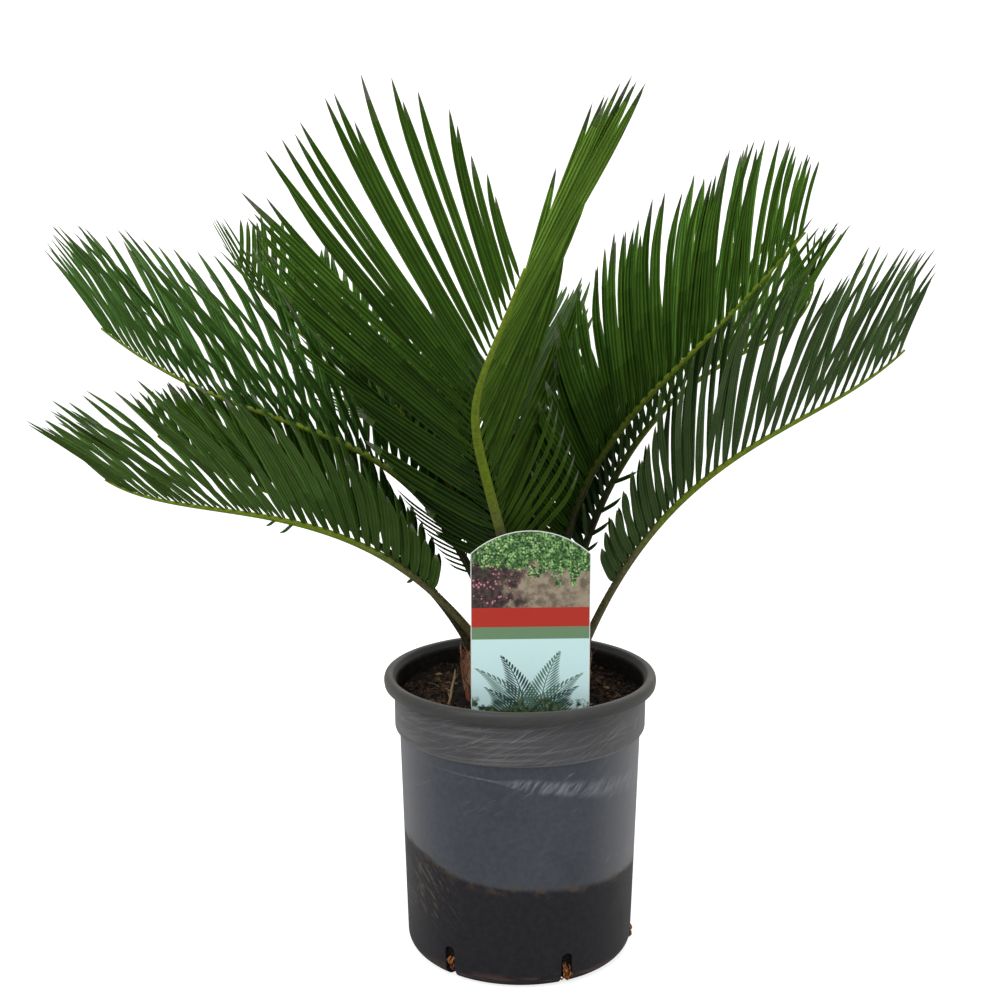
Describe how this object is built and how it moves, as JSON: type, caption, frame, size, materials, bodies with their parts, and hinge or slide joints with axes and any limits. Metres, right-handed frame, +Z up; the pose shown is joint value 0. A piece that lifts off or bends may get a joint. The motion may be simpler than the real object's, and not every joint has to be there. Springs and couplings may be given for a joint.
{
  "type": "potted sago palm",
  "caption": "Young sago palm with arching feather fronds on a squat scaly trunk, in a round black nursery pot with a plant label.",
  "frame": {"origin": "centre of the pot's flat underside", "axes": "+Z up, -Y towards the front where the plant label stands, +X to the right seen from the front"},
  "size_m": [0.5897, 0.5028, 0.586],
  "materials": {
    "pot": "scuffed and dusty black moulded plastic",
    "soil": "dark crumbly compost",
    "trunk": "matt reddish-brown fibre over old leaf bases",
    "label": "printed glossy plastic",
    "frond": "leathery semi-gloss green leaflets"
  },
  "bodies": {
    "root": {"pot": "pot", "soil": "soil", "trunk": "trunk", "plant_label": "label", "frond_01_front": "frond", "frond_02_right_low": "frond", "frond_03_left_low": "frond", "frond_04_right_high": "frond", "frond_05_left_mid": "frond", "frond_06_left_high": "frond", "frond_07_right_mid": "frond", "frond_08_left_inner": "frond", "frond_09_left_back": "frond", "frond_10_back": "frond", "frond_11_back_right": "frond", "frond_12_back_left": "frond"}
  },
  "joints": []
}
